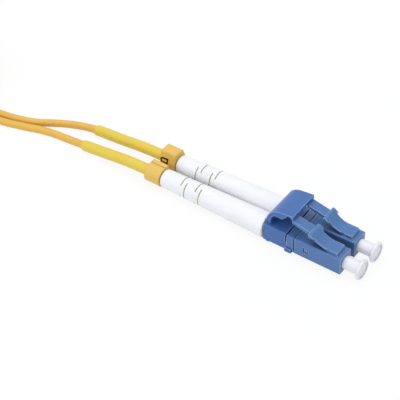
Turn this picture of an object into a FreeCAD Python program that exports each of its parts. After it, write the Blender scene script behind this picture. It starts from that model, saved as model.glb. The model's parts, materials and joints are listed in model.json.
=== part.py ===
"""Duplex LC fibre connector with its dust caps, as a FreeCAD document.

The part's frame is in millimetres: +X forward out of the ferrules, +Y to the second connector, +Z up.
Its origin is under the middle of the connector, on the surface that it lies on. Each connector is drawn
in a plug frame of its own, with x = 0 on the plug's front face and z = 0 on the ferrule's axis.
"""

import FreeCAD, Part
import math
import os

import Sketcher

V = FreeCAD.Vector
doc = FreeCAD.newDocument("lc_connector")

# ---------------------------------------------------------------- driving sizes, in millimetres and degrees
SIZES = {
    # the pair
    "pitch": 6.25,
    "running_gap": 0.05,
    "seat_gap": 0.02,
    # plug body
    "plug_width": 4.5,
    "plug_length": 11.7,
    "plug_round": 0.3,
    "mouth_radius": 1.6,
    "mouth_depth": 3.2,
    "cavity_width": 3.9,
    "cavity_round": 0.5,
    "window_front": 8.1,
    "window_length": 1.3,
    "window_low": 0.5,
    "window_height": 1.4,
    # latch
    "latch_front": 1.1,
    "latch_nose": 0.4,
    "latch_bevel": 0.25,
    "latch_root": 3.6,
    "latch_root_top": 0.85,
    "latch_width": 3.3,
    "latch_sweep": 4.3,
    "latch_split": 0.06,
    "latch_lift": 0.08,
    "latch_step_low": 2.35,
    "latch_step_high": 2.75,
    "latch_step_at": 6.9,
    "latch_step_run": 0.6,
    "latch_tail_chamfer": 0.4,
    "latch_tail_end": 1.7,
    "latch_tail_width": 2.4,
    "latch_overhang": 1.6,
    "latch_tail_top": 4.08,
    "latch_thickness": 0.7,
    "ear_back": 8.35,
    "ear_width": 4.2,
    "ear_top": 3.1,
    "ear_depth": 0.8,
    "ear_length": 0.5,
    # rear body
    "collar_length": 1.95,
    "seam_width": 0.25,
    "seam_depth": 0.3,
    "insert_length": 3.9,
    "neck_radius": 1.7,
    "neck_length": 6.35,
    "barrel_radius": 1.3,
    "barrel_length": 4.2,
    "spring_seat": 11.0,
    "spring_bore": 1.62,
    "fibre_bore": 0.8,
    "tab_height": 0.17,
    "tab_gap": 0.17,
    # ferrule
    "ferrule_radius": 0.6245,
    "ferrule_length": 6.5,
    "ferrule_reach": 1.8,
    "ferrule_chamfer": 0.15,
    "hex_flats": 3.3,
    "hex_length": 1.2,
    "tail_radius": 0.72,
    "tail_length": 5.2,
    "buffer_radius": 0.45,
    "ferrule_travel": 0.8,
    "spring_wire": 0.36,
    "spring_radius": 1.25,
    "spring_turns": 4.0,
    # crimp sleeve
    "crimp_wall": 0.3,
    "crimp_length": 4.4,
    "crimp_tail": 4.0,
    "cord_setback": 1.5,
    "jacket_gap": 0.2,
    # boot
    "boot_front_radius": 2.98,
    "boot_rear_radius": 2.32,
    "boot_length": 29.4,
    "boot_gap": 0.1,
    "boot_round": 0.5,
    "boot_edge": 0.15,
    "slot_width": 0.3,
    "slot_sweep": 117.0,
    "slot_first": 6.1,
    "slot_step": 1.3,
    "slot_pair_step": 4.2,
    "slot_roll": 15.0,
    # marker band and sleeve
    "band_length": 4.4,
    "band_radius": 2.42,
    "band_gap": 0.15,
    "flag_top": 3.25,
    "flag_half": 1.4,
    "flag_foot": 2.27,
    "flag_low": 0.82,
    "shelf_height": 2.5,
    "shelf_near": 0.75,
    "shelf_far": 1.9,
    "sleeve_radius": 1.4,
    "sleeve_end_a": 75.3,
    "sleeve_end_b": 76.8,
    "cord_radius": 1.0,
    # dust cap
    "stem_radius": 1.53,
    "stem_depth": 2.2,
    "cap_reach": 4.5,
    "flange_radius": 2.4,
    "flange_length": 0.9,
    "flange_round": 0.2,
    "cap_slip": 0.035,
    "cap_dish": 0.25,
    "cap_rim": 0.5,
    # duplex clip
    "clip_gap": 0.4,
    "clip_length": 5.85,
    "clip_width": 10.6,
    "clip_low": 2.15,
    "clip_high": 2.3,
    "clip_round": 0.45,
    "clip_slot": 2.7,
    "lip_wall": 0.25,
    "lip_reach": 1.3,
    "lip_height": 1.25,
    "lip_foot": 1.3,
    "brace_back": 0.85,
    "brace_front": 2.3,
    "nub": 0.25,
    # trigger
    "trigger_width": 8.8,
    "trigger_wall": 1.0,
    "trigger_radius": 4.02,
    "trigger_back": 1.53,
    "trigger_centre_high": 3.1,
    "trigger_reach": 1.32,
    "trigger_rise": 6.5,
    "trigger_lip": 0.35,
    "trigger_lip_length": 1.75,
    "trigger_lip_wall": 0.3,
    "trigger_split": 0.08,
    "rib_width": 0.7,
    "rib_drop": 0.77,
    "rib_back": 3.45,
    "rib_front": 1.5,
    "rib_step": 0.45,
    "pad_length": 0.8,
    "pad_back": 0.4,
    "pad_width": 2.0,
    "pad_gap": 0.12,
    # put-away cord
    "hank_row": 2.05,
    "hank_inner_bend": 6.0,
    "hank_straight": 10.0,
    "hank_middle": 131.8,
    "hank_rows": 5.3,
    "tie_width": 4.0,
    "tie_wall": 0.3,
}

sheet = doc.addObject("Spreadsheet::Sheet", "Sizes")
for row, (alias, value) in enumerate(SIZES.items(), start=1):
    sheet.set(f"A{row}", alias)
    sheet.set(f"B{row}", str(value))
    sheet.setAlias(f"B{row}", alias)
doc.recompute()


def size(alias):
    """The sheet's number for a size."""
    return float(getattr(sheet, alias))


def tied(text):
    """An expression in which every word that is a size reads the sheet."""
    words, out = set(SIZES), ""
    token = ""
    for letter in text + " ":
        if letter.isalnum() or letter == "_":
            token += letter
            continue
        out += (f"Sizes.{token}" if token in words else token) + letter
        token = ""
    return out.strip()


def value(text):
    """What an expression comes to now."""
    return float(sheet.evalExpression(tied(text)))


# ---------------------------------------------------------------- helpers
PLANES = {"XY": "XY_Plane", "XZ": "XZ_Plane", "YZ": "YZ_Plane"}


def new_body(label):
    """A PartDesign body whose name and label are the piece's."""
    made = doc.addObject("PartDesign::Body", label)
    made.Label = label
    return made


def new_sketch(body, plane, offset="0"):
    """A sketch on one of the body's own planes, moved along its normal by an expression."""
    sketch = body.newObject("Sketcher::SketchObject", "Sketch")
    role = PLANES[plane]
    origin = next(f for f in body.Origin.OriginFeatures if f.Role == role)
    sketch.AttachmentSupport = [(origin, "")]
    sketch.MapMode = "FlatFace"
    sketch.setExpression("AttachmentOffset.Base.z", tied(offset))
    return sketch


def place_point(sketch, geometry, end, x, y):
    """Tie one end of a line, or a circle's centre, to two expressions."""
    for kind, text in (("DistanceX", x), ("DistanceY", y)):
        index = sketch.addConstraint(Sketcher.Constraint(kind, -1, 1, geometry, end, value(text)))
        sketch.setExpression(f"Constraints[{index}]", tied(text))


def arc_middle(start, end, radius, turn):
    """The centre of an arc between two points: turn is 1 counter-clockwise and -1 clockwise."""
    chord = end - start
    height = math.sqrt(max(radius**2 - (chord.Length / 2) ** 2, 0.0))
    side = V(-chord.y, chord.x, 0).normalize() * (height * turn)
    return (start + end) * 0.5 + side


def outline(sketch, corners, arcs=None):
    """Draw a closed outline through corners; arcs gives (radius, turn) for the sides that are round."""
    arcs = arcs or {}
    spots = [V(value(x), value(y), 0) for x, y in corners]
    sides = []
    for number, start in enumerate(spots):
        end = spots[(number + 1) % len(spots)]
        if number not in arcs:
            sides.append((sketch.addGeometry(Part.LineSegment(start, end)), 1, 2))
            continue
        radius, turn = arcs[number]
        middle = arc_middle(start, end, value(radius), turn)
        first, last = ((start, end) if turn > 0 else (end, start))
        angles = [math.atan2(spot.y - middle.y, spot.x - middle.x) for spot in (first, last)]
        circle = Part.Circle(middle, V(0, 0, 1), value(radius))
        geometry = sketch.addGeometry(Part.ArcOfCircle(circle, *angles))
        index = sketch.addConstraint(Sketcher.Constraint("Radius", geometry, value(radius)))
        sketch.setExpression(f"Constraints[{index}]", tied(radius))
        sides.append((geometry, 1, 2) if turn > 0 else (geometry, 2, 1))
    for number, (geometry, _, end) in enumerate(sides):
        following, start, _ = sides[(number + 1) % len(sides)]
        sketch.addConstraint(Sketcher.Constraint("Coincident", geometry, end, following, start))
    for (geometry, start, _), (x, y) in zip(sides, corners):
        place_point(sketch, geometry, start, x, y)


def box_outline(sketch, x_low, x_high, y_low, y_high):
    """A rectangle between four expressions."""
    outline(sketch, [(x_low, y_low), (x_high, y_low), (x_high, y_high), (x_low, y_high)])


def rounded_outline(sketch, half_width, half_height, corner, middle="0"):
    """A rectangle with rounded corners, about a point on the sketch's own X axis."""
    m, w, h, r = f"({middle})", f"({half_width})", f"({half_height})", f"({corner})"
    outline(
        sketch,
        [
            (f"{m} + {w} - {r}", f"-{h}"), (f"{m} + {w}", f"{r} - {h}"),
            (f"{m} + {w}", f"{h} - {r}"), (f"{m} + {w} - {r}", h),
            (f"{m} - {w} + {r}", h), (f"{m} - {w}", f"{h} - {r}"),
            (f"{m} - {w}", f"{r} - {h}"), (f"{m} - {w} + {r}", f"-{h}"),
        ],
        {0: (corner, 1), 2: (corner, 1), 4: (corner, 1), 6: (corner, 1)},
    )


def round_hole(sketch, x, y, radius):
    """A full circle at two expressions."""
    centre = V(value(x), value(y), 0)
    geometry = sketch.addGeometry(Part.Circle(centre, V(0, 0, 1), value(radius)))
    index = sketch.addConstraint(Sketcher.Constraint("Radius", geometry, value(radius)))
    sketch.setExpression(f"Constraints[{index}]", tied(radius))
    place_point(sketch, geometry, 3, x, y)


def add(body, sketch, length, way="up"):
    """Pad a sketch up or down its plane's normal, or to both sides."""
    pad = body.newObject("PartDesign::Pad", "Pad")
    pad.Profile = sketch
    pad.Reversed = way == "down"
    pad.SideType = "Symmetric" if way == "both" else "One side"
    pad.setExpression("Length", tied(length))
    return pad


def cut(body, sketch, length, way="up"):
    """Pocket a sketch up or down its plane's normal, or to both sides, and check that it cuts."""
    doc.recompute()
    before = body.Shape.Volume
    pocket = body.newObject("PartDesign::Pocket", "Pocket")
    pocket.Profile = sketch
    pocket.Reversed = way == "up"
    pocket.SideType = "Symmetric" if way == "both" else "One side"
    pocket.setExpression("Length", tied(length))
    doc.recompute()
    if not body.Shape.Volume < before:
        raise RuntimeError(f"{body.Label}: {pocket.Name} cuts nothing")
    return pocket


def turned(label, corners, arcs=None):
    """A body revolved about the X axis from a half section drawn as (x, radius)."""
    body = new_body(label)
    sketch = new_sketch(body, "XZ")
    outline(sketch, corners, arcs)
    turn = body.newObject("PartDesign::Revolution", "Revolution")
    turn.Profile = sketch
    turn.ReferenceAxis = (sketch, ["H_Axis"])
    turn.Angle = 360
    doc.recompute()
    return body


def round_edges(body, radius, wanted):
    """Fillet the edges of the body's last feature for which wanted(edge) is true."""
    doc.recompute()
    base = body.Tip
    names = [f"Edge{n}" for n, edge in enumerate(base.Shape.Edges, start=1) if wanted(edge)]
    fillet = body.newObject("PartDesign::Fillet", "Fillet")
    fillet.Base = (base, names)
    fillet.setExpression("Radius", tied(radius))
    doc.recompute()


def runs_along(edge, axis):
    """Whether a straight edge lies along X, Y or Z."""
    if not isinstance(edge.Curve, Part.Line):
        return False
    return abs(abs(edge.Curve.Direction[axis]) - 1) < 1e-6


SIDES = {"a": -1, "b": 1}
PIECES = []


def keep(piece, side="", roll=0.0):
    """Stand a piece in the part's frame, on its connector's axis, and keep it for the file list."""
    across = f"{SIDES[side]} * Sizes.pitch / 2" if side else "0"
    for axis, text in (("x", f"({tied(REAR)} - Sizes.cap_reach) / 2"), ("y", across),
                       ("z", "Sizes.boot_front_radius")):
        piece.setExpression(f"Placement.Base.{axis}", text)
    if roll:
        piece.Placement = FreeCAD.Placement(piece.Placement.Base, FreeCAD.Rotation(V(1, 0, 0), roll))
    PIECES.append(piece)
    return piece


# ---------------------------------------------------------------- places along a plug's own X axis
HALF = "plug_width / 2"
COLLAR = "(plug_length + seat_gap)"
NECK = "(plug_length + seat_gap + collar_length)"
NECK_END = "(plug_length + seat_gap + collar_length + neck_length)"
BOOT = "(plug_length + seat_gap + collar_length + neck_length + boot_gap)"
BOOT_END = "(plug_length + seat_gap + collar_length + neck_length + boot_gap + boot_length)"
CLIP = "(plug_length + seat_gap + collar_length + clip_gap)"
TAIL = "(plug_length + latch_overhang)"
REAR = ("(plug_length + seat_gap + collar_length + neck_length + boot_gap + boot_length + band_gap"
        " + band_length)")


# ---------------------------------------------------------------- the plug
def front_housing(side):
    """Square plug body: front mouth, cavity, two snap windows and the raised root of the latch."""
    body = new_body(f"front_housing_{side}")
    section = new_sketch(body, "YZ")
    box_outline(section, f"-{HALF}", HALF, f"-{HALF}", HALF)
    add(body, section, "plug_length", "down")
    round_edges(body, "plug_round", lambda edge: runs_along(edge, 0))
    root = new_sketch(body, "XZ")
    outline(root, [
        ("-latch_front", "cavity_width / 2"), ("-latch_front", f"{HALF} + latch_nose"),
        ("-latch_front - latch_bevel", f"{HALF} + latch_root_top"),
        ("-latch_root", f"{HALF} + latch_root_top"), ("-latch_root", "cavity_width / 2"),
    ])
    add(body, root, "latch_width", "both")
    mouth = new_sketch(body, "YZ")
    round_hole(mouth, "0", "0", "mouth_radius")
    cut(body, mouth, "mouth_depth", "down")
    cavity = new_sketch(body, "YZ", "-plug_length")
    rounded_outline(cavity, "cavity_width / 2", "cavity_width / 2", "cavity_round")
    cut(body, cavity, "plug_length - mouth_depth")
    window = new_sketch(body, "XZ")
    box_outline(window, "-window_front - window_length", "-window_front",
                "-window_low", "window_height - window_low")
    cut(body, window, "plug_width * 2", "both")
    return keep(body, side)


def latch_arm(side):
    """Cantilever latch: sweeps up from its root, steps up at the ears and narrows to the tail."""
    body = new_body(f"latch_arm_{side}")
    profile = new_sketch(body, "XZ")
    front = "-latch_root - latch_split"
    outline(profile, [
        (front, f"{HALF} + latch_lift"), (front, f"{HALF} + latch_root_top"),
        ("-latch_step_at", f"{HALF} + latch_step_low"),
        ("-latch_step_at - latch_step_run", f"{HALF} + latch_step_high"),
        (f"-{TAIL}", f"{HALF} + latch_tail_top"),
        (f"-{TAIL}", f"{HALF} + latch_tail_top - latch_thickness"),
        ("-ear_back", f"{HALF} + latch_step_high - latch_thickness"),
    ], {1: ("latch_sweep", -1)})
    add(body, profile, "latch_width", "both")
    sides = new_sketch(body, "XY")
    wide, narrow, end = "latch_width / 2", "latch_tail_width / 2", "latch_tail_end / 2"
    for sign in ("", "-"):
        outline(sides, [
            ("-latch_step_at", f"{sign}(latch_width)"), ("-latch_step_at", f"{sign}{wide}"),
            ("-ear_back", f"{sign}{narrow}"), (f"latch_tail_chamfer - {TAIL}", f"{sign}{narrow}"),
            (f"-{TAIL}", f"{sign}{end}"), (f"-{TAIL} - 1", f"{sign}{end}"),
            (f"-{TAIL} - 1", f"{sign}(latch_width)"),
        ])
    cut(body, sides, "plug_width * 6", "both")
    ears = new_sketch(body, "XZ")
    outline(ears, [
        ("-ear_back", f"{HALF} + ear_top - ear_depth"), ("-ear_back", f"{HALF} + ear_top"),
        ("-ear_back + ear_length", f"{HALF} + ear_top"),
        ("-latch_step_at", f"{HALF} + latch_step_low"),
        ("-latch_step_at", f"{HALF} + ear_top - ear_depth"),
    ])
    add(body, ears, "ear_width", "both")
    return keep(body, side)


def rear_body(side):
    """Rear body: insert with snap tabs, square collar, round neck for the clip and crimp barrel."""
    body = new_body(f"rear_body_{side}")
    collar = new_sketch(body, "YZ", f"-{COLLAR} - seam_width")
    box_outline(collar, f"-{HALF}", HALF, f"-{HALF}", HALF)
    add(body, collar, "collar_length - seam_width", "down")
    round_edges(body, "plug_round", lambda edge: runs_along(edge, 0))
    seam = new_sketch(body, "YZ", f"-{COLLAR}")
    half = f"{HALF} - seam_depth"
    box_outline(seam, f"-({half})", half, f"-({half})", half)
    add(body, seam, "seam_width", "down")
    insert = new_sketch(body, "YZ", f"-{COLLAR}")
    half = "cavity_width / 2 - seat_gap"
    rounded_outline(insert, half, half, "cavity_round")
    add(body, insert, "insert_length")
    tabs = new_sketch(body, "XZ")
    box_outline(tabs, "tab_gap - window_front - window_length", "-window_front - tab_gap",
                "tab_gap - window_low", "window_height - window_low - tab_gap")
    add(body, tabs, "cavity_width + 2 * tab_height", "both")
    neck = new_sketch(body, "YZ", f"-{NECK}")
    round_hole(neck, "0", "0", "neck_radius")
    add(body, neck, "neck_length", "down")
    barrel = new_sketch(body, "YZ", f"-{NECK_END}")
    round_hole(barrel, "0", "0", "barrel_radius")
    add(body, barrel, "barrel_length", "down")
    bore = new_sketch(body, "YZ", "-spring_seat")
    round_hole(bore, "0", "0", "spring_bore")
    cut(body, bore, "plug_length")
    way_through = new_sketch(body, "YZ")
    round_hole(way_through, "0", "0", "fibre_bore")
    cut(body, way_through, f"{NECK_END} + barrel_length + 1", "down")
    return keep(body, side)


# ---------------------------------------------------------------- the sprung ferrule
COLLAR_FRONT = "(mouth_depth + seat_gap)"
COLLAR_REAR = "(mouth_depth + seat_gap + hex_length)"
FERRULE_REAR = "(ferrule_length - ferrule_reach)"


def ferrule(side):
    """Ceramic ferrule with a chamfered tip."""
    tip, edge = "ferrule_reach", "ferrule_radius"
    return keep(turned(f"ferrule_{side}", [
        (f"-{FERRULE_REAR}", "0"), (tip, "0"), (tip, f"{edge} - ferrule_chamfer"),
        (f"{tip} - ferrule_chamfer", edge), (f"-{FERRULE_REAR}", edge),
    ]), side)


def ferrule_holder(side):
    """Hexagonal collar that seats behind the mouth, with the tube that guides the spring."""
    body = new_body(f"ferrule_holder_{side}")
    head = new_sketch(body, "YZ", f"-{COLLAR_FRONT}")
    point, flat = "hex_flats / sqrt(3)", "hex_flats / 2"
    outline(head, [
        (point, "0"), (f"{point} / 2", flat), (f"-{point} / 2", flat),
        (f"-{point}", "0"), (f"-{point} / 2", f"-{flat}"), (f"{point} / 2", f"-{flat}"),
    ])
    add(body, head, "hex_length", "down")
    tube = new_sketch(body, "YZ", f"-{COLLAR_REAR}")
    round_hole(tube, "0", "0", "tail_radius")
    add(body, tube, "tail_length", "down")
    seat = new_sketch(body, "YZ")
    round_hole(seat, "0", "0", "ferrule_radius")
    cut(body, seat, FERRULE_REAR, "down")
    bore = new_sketch(body, "YZ")
    round_hole(bore, "0", "0", "buffer_radius")
    cut(body, bore, f"{COLLAR_REAR} + tail_length + 1", "down")
    return keep(body, side)


def spring(side):
    """Compression spring between the holder's collar and the seat inside the rear body."""
    body = new_body(f"spring_{side}")
    wire = new_sketch(body, "XZ")
    outline(wire, [
        (f"-{COLLAR_REAR} - seat_gap - spring_wire / 2 * (1 - cos({angle}))",
         f"spring_radius + spring_wire / 2 * sin({angle})") for angle in range(0, 360, 90)
    ])
    coil = body.newObject("PartDesign::AdditiveHelix", "Helix")
    coil.Profile = wire
    coil.ReferenceAxis = (wire, ["H_Axis"])
    coil.Mode = "height-turns-angle"
    coil.Reversed = True
    coil.setExpression("Height", tied(f"spring_seat - {COLLAR_REAR} - 2 * seat_gap - spring_wire"))
    coil.setExpression("Turns", tied("spring_turns"))
    return keep(body, side)


def fibre_buffer(side):
    """Buffered fibre from the ferrule's rear to just short of the jacket; it slides with the ferrule."""
    rear = f"-({CORD_START} - ferrule_travel - jacket_gap)"
    return keep(turned(f"fibre_buffer_{side}", [
        (rear, "0"), (f"-{FERRULE_REAR}", "0"), (f"-{FERRULE_REAR}", "buffer_radius"), (rear, "buffer_radius"),
    ]), side)


def crimp_sleeve(side):
    """Stepped metal sleeve: the wide end is crimped on the barrel, the narrow one on the jacket."""
    wide, tight = "barrel_radius + seat_gap", "cord_radius + seat_gap"
    start, step = f"{NECK_END} + seat_gap", f"{NECK_END} + seat_gap + crimp_length"
    end = f"{NECK_END} + seat_gap + crimp_length + crimp_tail"
    return keep(turned(f"crimp_sleeve_{side}", [
        (f"-({start})", wide), (f"-({start})", f"{wide} + crimp_wall"),
        (f"-({step})", f"{wide} + crimp_wall"), (f"-({step}) - crimp_wall", f"{tight} + crimp_wall"),
        (f"-({end})", f"{tight} + crimp_wall"), (f"-({end})", tight),
        (f"-({step})", tight), (f"-({step})", wide),
    ]), side)


CORD_START = "(plug_length + seat_gap + collar_length + neck_length + crimp_length + cord_setback)"
CRIMP_END = "(plug_length + seat_gap + collar_length + neck_length + seat_gap + crimp_length + crimp_tail)"


# ---------------------------------------------------------------- boot and marker band
def boot(side):
    """Tapered boot with two pairs of bend-relief slots, each ring turned a quarter from the last."""
    crimp = "barrel_radius + seat_gap + crimp_wall + running_gap * 2"
    inner = "sleeve_radius + running_gap"
    body = turned(f"boot_{side}", [
        (f"-{BOOT}", crimp), (f"-{BOOT}", "boot_front_radius - boot_edge"),
        (f"-{BOOT} - boot_edge", "boot_front_radius"),
        (f"boot_round - {BOOT_END}", "boot_rear_radius"),
        (f"boot_round * 0.3 - {BOOT_END}", "boot_rear_radius - boot_round * 0.3"),
        (f"-{BOOT_END}", "boot_rear_radius - boot_round"),
        (f"-{BOOT_END}", inner), (f"-{CRIMP_END} - 1", inner), (f"-{CRIMP_END} - running_gap", crimp),
    ])
    places = ["slot_first", "slot_first + slot_step", "slot_first + slot_pair_step",
              "slot_first + slot_pair_step + slot_step"]
    for number, place in enumerate(places):
        ring = new_sketch(body, "XZ" if number % 2 else "XY")
        low, high = f"{place} - {BOOT_END} - slot_width / 2", f"{place} - {BOOT_END} + slot_width / 2"
        for sign in ("", "-"):
            box_outline(ring, low, high, f"{sign}({inner} - running_gap)", f"{sign}(boot_front_radius + 1)")
        before = body.Shape.Volume
        groove = body.newObject("PartDesign::Groove", "Groove")
        groove.Profile = ring
        groove.ReferenceAxis = (ring, ["H_Axis"])
        groove.Midplane = True
        groove.setExpression("Angle", tied("slot_sweep"))
        doc.recompute()
        if not body.Shape.Volume < before:
            raise RuntimeError(f"{body.Label}: a slot cuts nothing")
    roll = size("slot_roll")
    return keep(body, side, {"a": 90 - roll, "b": -roll}[side])


def marker_band(side):
    """Ring behind the boot: the first carries a low shelf, the second a broad flag for its letter."""
    start, bore = f"{BOOT_END} + band_gap", "sleeve_radius + seat_gap"
    body = turned(f"marker_band_{side}", [
        (f"-({start})", bore), (f"-({start})", "band_radius"),
        (f"-{REAR}", "band_radius"), (f"-{REAR}", bore),
    ])
    flag = new_sketch(body, "YZ", f"-({start})")
    if side == "a":
        box_outline(flag, "shelf_near", "shelf_far", "0", "shelf_height")
    else:
        outline(flag, [
            ("flag_foot", "flag_low"), ("flag_half", "flag_top"),
            ("-flag_half", "flag_top"), ("-flag_foot", "flag_low"),
        ])
    add(body, flag, "band_length", "down")
    hole = new_sketch(body, "YZ", f"-({start})")
    round_hole(hole, "0", "0", bore)
    cut(body, hole, "band_length", "down")
    return keep(body, side)


def dust_cap(side):
    """Blind cap: a stem that slips over the ferrule into the mouth, and a flange to pull on."""
    bore, neck = "ferrule_radius + cap_slip", "cap_reach - flange_length"
    return keep(turned(f"dust_cap_{side}", [
        ("-stem_depth", bore), ("ferrule_reach + running_gap", bore), ("ferrule_reach + running_gap", "0"),
        ("cap_reach - cap_dish", "0"), ("cap_reach - cap_dish", "flange_radius - cap_rim"),
        ("cap_reach", "flange_radius - cap_rim"),
        ("cap_reach", "flange_radius - flange_round"), ("cap_reach - flange_round", "flange_radius"),
        (f"{neck} + flange_round", "flange_radius"), (neck, "flange_radius - flange_round"),
        (neck, "stem_radius"), ("-stem_depth", "stem_radius"),
    ]), side)


# ---------------------------------------------------------------- clip and trigger
def duplex_clip():
    """Block with two snap-in bores, hooks under the rear bodies' collars and small rear nubs."""
    body = new_body("duplex_clip")
    block = new_sketch(body, "YZ", f"-{CLIP}")
    w, r = "clip_width / 2", "clip_round"
    outline(block, [
        (f"-{w}", "-clip_low"), (w, "-clip_low"), (w, f"clip_high - {r}"), (f"{w} - {r}", "clip_high"),
        (f"{r} - {w}", "clip_high"), (f"-{w}", f"clip_high - {r}"),
    ], {2: (r, 1), 4: (r, 1)})
    add(body, block, "clip_length", "down")
    outer = f"pitch / 2 + {HALF} + seat_gap + lip_wall"
    inner, under = f"pitch / 2 + {HALF} + seat_gap", f"-{HALF} - seat_gap"
    for sign in ("", "-"):
        web = new_sketch(body, "YZ", f"-{CLIP}")
        box_outline(web, f"{sign}({outer} - lip_foot)", f"{sign}({outer})", f"{under} - lip_wall",
                    f"{under} - lip_wall + lip_height")
        add(body, web, "clip_gap - seat_gap")
        brace = new_sketch(body, "XZ", f"{sign}(clip_width / 2)")
        foot, ahead = f"{under} - lip_wall + lip_height", f"clip_gap - seat_gap - {CLIP}"
        outline(brace, [
            (f"-{CLIP}", f"{foot} - lip_wall"), (ahead, f"{foot} - lip_wall"),
            (ahead, f"{foot} + brace_front"), (f"-{CLIP}", f"{foot} + brace_back"),
        ])
        add(body, brace, "lip_foot / 2", "up" if sign else "down")
        lip = new_sketch(body, "YZ", f"-{CLIP}")
        outline(lip, [
            (f"{sign}({outer} - lip_foot)", f"{under} - lip_wall"), (f"{sign}({outer})", f"{under} - lip_wall"),
            (f"{sign}({outer})", f"{under} - lip_wall + lip_height"),
            (f"{sign}({inner})", f"{under} - lip_wall + lip_height"),
            (f"{sign}({inner})", under), (f"{sign}({outer} - lip_foot)", under),
        ])
        add(body, lip, "clip_gap + lip_reach")
        nub = new_sketch(body, "XZ", f"{sign}(clip_width / 2)")
        box_outline(nub, f"-{CLIP} - clip_length + 3 * nub", f"-{CLIP} - clip_length + 6 * nub",
                    "-clip_low - nub", "nub - clip_low")
        add(body, nub, "nub * 4", "down" if not sign else "up")
    bores = new_sketch(body, "YZ")
    slots = new_sketch(body, "YZ")
    for sign in ("", "-"):
        round_hole(bores, f"{sign}pitch / 2", "0", "neck_radius + running_gap")
        box_outline(slots, f"{sign}pitch / 2 - clip_slot / 2", f"{sign}pitch / 2 + clip_slot / 2",
                    "-clip_low - 1", "-neck_radius / 2")
    cut(body, bores, f"{CLIP} + clip_length + 1", "down")
    cut(body, slots, f"{CLIP} + clip_length + 1", "down")
    return keep(body)


def trigger():
    """Curved lever hinged at the clip's rear: side ribs, a thin front lip and a pad over each latch."""
    body = new_body("trigger")
    profile = new_sketch(body, "XZ")
    rise = "trigger_rise"
    centre, tip = f"(-{CLIP} - trigger_back)", f"(trigger_reach - {CLIP})"
    top_x = f"({centre} - trigger_radius * sin({rise}))"
    top_z = f"(trigger_centre_high + trigger_radius * cos({rise}))"
    thin_x, thin_z = f"({top_x} + trigger_wall * sin({rise}))", f"({top_z} - trigger_wall * cos({rise}))"
    lip_x, edge_x = f"({tip} - trigger_lip_length)", f"({tip} - trigger_lip_wall)"
    tail = f"{HALF} + latch_tail_top + pad_gap"

    def top_at(x):
        return f"({top_z} + ({x} - {top_x}) * tan({rise}))"

    rear = f"({centre} - trigger_radius)"
    outline(profile, [
        (rear, "clip_high + trigger_split"), (f"{rear} + trigger_wall", "clip_high + trigger_split"),
        (f"{rear} + trigger_wall", "trigger_centre_high"), (thin_x, thin_z),
        (lip_x, f"{thin_z} + ({lip_x} - {thin_x}) * tan({rise})"),
        (lip_x, f"{top_at(lip_x)} - trigger_lip"), (edge_x, f"{top_at(edge_x)} - trigger_lip"),
        (edge_x, tail), (tip, tail), (tip, top_at(tip)), (top_x, top_z), (rear, "trigger_centre_high"),
    ], {2: ("trigger_radius - trigger_wall", -1), 10: ("trigger_radius", 1)})
    add(body, profile, "trigger_width", "both")
    rib_low = "(trigger_centre_high + trigger_radius - trigger_wall - rib_drop)"
    for sign in ("", "-"):
        rib = new_sketch(body, "XZ", f"{sign}(trigger_width / 2)")
        outline(rib, [
            (f"-{CLIP} - rib_back", rib_low), (f"-{CLIP} - rib_front", rib_low),
            (f"-{CLIP} - rib_front + rib_step", f"{rib_low} + rib_step"),
            (f"-{CLIP} - rib_front + 2 * rib_step", f"{rib_low} + 2.5 * rib_step"),
            (f"-{CLIP} - rib_back", f"{rib_low} + 2 * rib_step"),
        ])
        add(body, rib, "rib_width", "up" if sign else "down")
    pad_rear, pad_front = f"(-{TAIL} - pad_back)", f"(-{TAIL} - pad_back + pad_length)"
    for sign in ("", "-"):
        pads = new_sketch(body, "XZ", f"{sign}(pitch / 2)")
        outline(pads, [
            (pad_rear, tail), (pad_front, tail), (pad_front, f"{top_at(pad_front)} - trigger_lip / 2"),
            (pad_rear, f"{top_at(pad_rear)} - trigger_lip / 2"),
        ])
        add(body, pads, "pad_width", "both")
    return keep(body)


# ---------------------------------------------------------------- cords
FLOOR = -size("boot_front_radius")
CORD_LOW = FLOOR + size("cord_radius")
HANK_BASE = FLOOR + size("tie_wall") + size("seat_gap")
ENTRY_Z = HANK_BASE + size("cord_radius")
MIDDLE = size("pitch") / 2

# Each route is a list of points in the plug frame's x and z, with y measured from the pair's middle.
ROUTES = {
    "a": [
        (-value(REAR), -MIDDLE, 0), (-60, -MIDDLE, 0), (-69, -3.2, -1.05), (-79, -3.5, -1.78),
        (-88, -4.35, CORD_LOW), (-96.4, -5.45, CORD_LOW), (-106.1, -6.75, CORD_LOW + 0.1),
        (-115.8, -8.05, ENTRY_Z),
    ],
    "b": [
        (-value(REAR), MIDDLE, 0), (-60, MIDDLE, 0), (-69, 3.12, -1.05), (-78.5, 2.85, -1.75),
        (-85, 0.5, CORD_LOW), (-91.5, -2.3, CORD_LOW), (-98.5, -3.6, CORD_LOW),
        (-106, -4.65, CORD_LOW + 0.1), (-113.6, -5.6, ENTRY_Z),
    ],
}


def bent_route(points):
    """Straight runs joined by tangent arcs, each as large as its shorter run allows, and the arcs' radii."""
    spots = [V(*p) for p in points]
    edges, radii, start = [], [], spots[0]
    for before, corner, after in zip(spots, spots[1:], spots[2:]):
        into, out = (corner - before), (after - corner)
        reach = 0.45 * min(into.Length, out.Length)
        into.normalize()
        out.normalize()
        half = into.getAngle(out) / 2
        first, last = corner - into * reach, corner + out * reach
        bulge = (out - into).normalize()
        radius = reach / math.tan(half)
        top = corner + bulge * (radius / math.cos(half) - radius)
        edges += [Part.LineSegment(start, first).toShape(), Part.Arc(first, top, last).toShape()]
        radii.append(radius)
        start = last
    edges.append(Part.LineSegment(start, spots[-1]).toShape())
    return Part.Wire(edges), radii


FLATS = 16


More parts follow.
